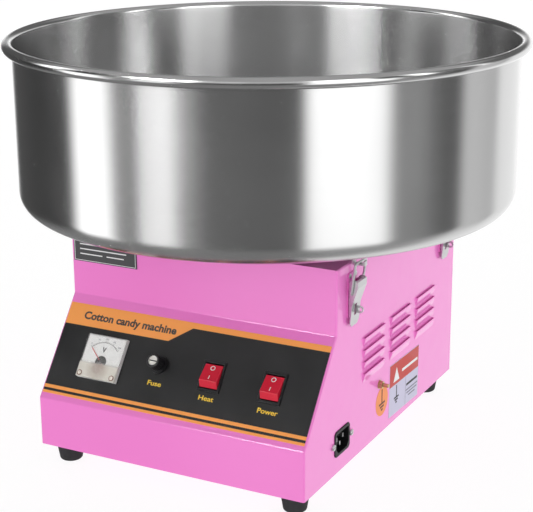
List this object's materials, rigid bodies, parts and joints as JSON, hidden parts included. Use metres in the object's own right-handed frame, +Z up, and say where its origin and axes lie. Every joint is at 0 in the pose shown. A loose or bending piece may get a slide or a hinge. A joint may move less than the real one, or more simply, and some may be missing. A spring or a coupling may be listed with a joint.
{
  "type": "cotton candy machine",
  "caption": "Tabletop cotton candy machine: a wide spun steel bowl latched onto a sloped sheet-metal cabinet, with a heated spinning head, rocker switches, a meter and a power inlet.",
  "frame": {"origin": "on the surface it stands on, under the bowl's axis, which is also the middle of the bounding box", "axes": "+Z up along the bowl and motor axis, -Y towards the sloped control panel, +X to the right of someone facing the panel"},
  "size_m": [0.5199, 0.52, 0.4081],
  "materials": {
    "pink_paint": "gloss powder coat",
    "brushed_bowl": "spun and brushed stainless",
    "plated_steel": "zinc or nickel plate",
    "black_rubber": "moulded rubber",
    "overlay_print": "satin printed film, orange and black",
    "plate_print": "printed plate with a pale border",
    "label_print": "printed label, red over pale grey",
    "sticker_print": "printed sticker",
    "brass": "plain brass",
    "black_plastic": "moulded",
    "red_plastic": "moulded",
    "fuse_glass": "clear tube with metal ends",
    "dial_print": "printed scale",
    "clear_plastic": "clear",
    "needle_paint": "painted red",
    "motor_paint": "black enamel",
    "cast_aluminium": "turned",
    "bearing_steel": "ground steel",
    "insulator": "brown moulding",
    "carbon": "carbon",
    "heater_steel": "heat-stained sheath",
    "wire_cover": "PVC insulation"
  },
  "bodies": {
    "root": {"bottom_plate": "pink_paint", "bowl": "brushed_bowl", "bowl_catches": "plated_steel", "bowl_gasket": "black_rubber", "bowl_seat_ring": "brushed_bowl", "brush_holder": "insulator", "cabinet_shell": "pink_paint", "carbon_brushes": "carbon", "control_overlay": "overlay_print", "earth_screw": "brass", "earth_sticker": "sticker_print", "fuse_holder_body": "black_plastic", "fuse_holder_nut": "black_plastic", "heat_switch_housing": "black_plastic", "inlet_housing": "black_plastic", "inlet_pins": "plated_steel", "internal_wires": "wire_cover", "latch_bases": "pink_paint", "latch_pins": "plated_steel", "latch_rivets": "plated_steel", "m3_screws": "plated_steel", "m4_screws": "plated_steel", "motor_bearings": "bearing_steel", "motor_bolts": "plated_steel", "motor_end_cap": "cast_aluminium", "motor_housing": "motor_paint", "motor_plate": "plated_steel", "motor_stator": "bearing_steel", "name_plate": "plate_print", "power_switch_housing": "black_plastic", "rubber_feet": "black_rubber", "safety_label": "label_print", "switch_terminals": "brass", "vibration_mounts": "black_rubber", "voltmeter_case": "black_plastic", "voltmeter_dial": "dial_print", "voltmeter_window": "clear_plastic"},
    "spinner": {"motor_shaft": "bearing_steel", "motor_rotor": "bearing_steel", "cooling_fan": "black_plastic", "slip_ring_hub": "insulator", "slip_rings": "brass", "head_base": "cast_aluminium", "heating_element": "heater_steel", "perforated_band": "cast_aluminium", "head_cap": "cast_aluminium", "head_studs": "plated_steel"},
    "heat_rocker": {"heat_rocker": "red_plastic"},
    "power_rocker": {"power_rocker": "red_plastic"},
    "meter_needle": {"voltmeter_needle": "needle_paint"},
    "fuse_cap": {"fuse_cap": "black_plastic", "fuse_link": "fuse_glass"},
    "lever_front_right": {"lever_front_right": "plated_steel"},
    "bail_front_right": {"bail_front_right": "plated_steel"},
    "lever_front_left": {"lever_front_left": "plated_steel"},
    "bail_front_left": {"bail_front_left": "plated_steel"},
    "lever_rear_right": {"lever_rear_right": "plated_steel"},
    "bail_rear_right": {"bail_rear_right": "plated_steel"},
    "lever_rear_left": {"lever_rear_left": "plated_steel"},
    "bail_rear_left": {"bail_rear_left": "plated_steel"}
  },
  "joints": [
    {"name": "spinner_spin", "type": "hinge", "parent": "root", "child": "spinner", "pos_m": [0, 0, 0.26], "axis": [0, 0, 1], "continuous": true},
    {"name": "heat_rocker_tilt", "type": "hinge", "parent": "root", "child": "heat_rocker", "pos_m": [0.0332, -0.17399, 0.10821], "axis": [1, 0, 0], "range_deg": [0, 32]},
    {"name": "power_rocker_tilt", "type": "hinge", "parent": "root", "child": "power_rocker", "pos_m": [0.0973, -0.17399, 0.10821], "axis": [1, 0, 0], "range_deg": [0, 32]},
    {"name": "meter_needle_swing", "type": "hinge", "parent": "root", "child": "meter_needle", "pos_m": [-0.0868, -0.18549, 0.10773], "axis": [0, 0.7993, -0.6009], "range_deg": [0, 96], "stiffness_Nm_per_rad": 0.0002},
    {"name": "fuse_cap_turn", "type": "hinge", "parent": "root", "child": "fuse_cap", "pos_m": [-0.0255, -0.18003, 0.115], "axis": [0, -0.7993, 0.6009], "range_deg": [0, 60]},
    {"name": "lever_front_right_turn", "type": "hinge", "parent": "root", "child": "lever_front_right", "pos_m": [0.1518, -0.111, 0.2025], "axis": [0, -1, 0], "range_deg": [0, 115]},
    {"name": "bail_front_right_turn", "type": "hinge", "parent": "lever_front_right", "child": "bail_front_right", "pos_m": [0.1498, -0.111, 0.193], "axis": [0, -1, 0], "range_deg": [-90, 0]},
    {"name": "lever_front_left_turn", "type": "hinge", "parent": "root", "child": "lever_front_left", "pos_m": [-0.1518, -0.111, 0.2025], "axis": [0, 1, 0], "range_deg": [0, 115]},
    {"name": "bail_front_left_turn", "type": "hinge", "parent": "lever_front_left", "child": "bail_front_left", "pos_m": [-0.1498, -0.111, 0.193], "axis": [0, 1, 0], "range_deg": [-90, 0]},
    {"name": "lever_rear_right_turn", "type": "hinge", "parent": "root", "child": "lever_rear_right", "pos_m": [0.1518, 0.125, 0.2025], "axis": [0, -1, 0], "range_deg": [0, 115]},
    {"name": "bail_rear_right_turn", "type": "hinge", "parent": "lever_rear_right", "child": "bail_rear_right", "pos_m": [0.1498, 0.125, 0.193], "axis": [0, -1, 0], "range_deg": [-90, 0]},
    {"name": "lever_rear_left_turn", "type": "hinge", "parent": "root", "child": "lever_rear_left", "pos_m": [-0.1518, 0.125, 0.2025], "axis": [0, 1, 0], "range_deg": [0, 115]},
    {"name": "bail_rear_left_turn", "type": "hinge", "parent": "lever_rear_left", "child": "bail_rear_left", "pos_m": [-0.1498, 0.125, 0.193], "axis": [0, 1, 0], "range_deg": [-90, 0]}
  ],
  "couplings": [
    {"joint": "bail_front_right_turn", "follows": "lever_front_right_turn", "ratio": -0.75},
    {"joint": "bail_front_left_turn", "follows": "lever_front_left_turn", "ratio": -0.75},
    {"joint": "bail_rear_right_turn", "follows": "lever_rear_right_turn", "ratio": -0.75},
    {"joint": "bail_rear_left_turn", "follows": "lever_rear_left_turn", "ratio": -0.75}
  ]
}
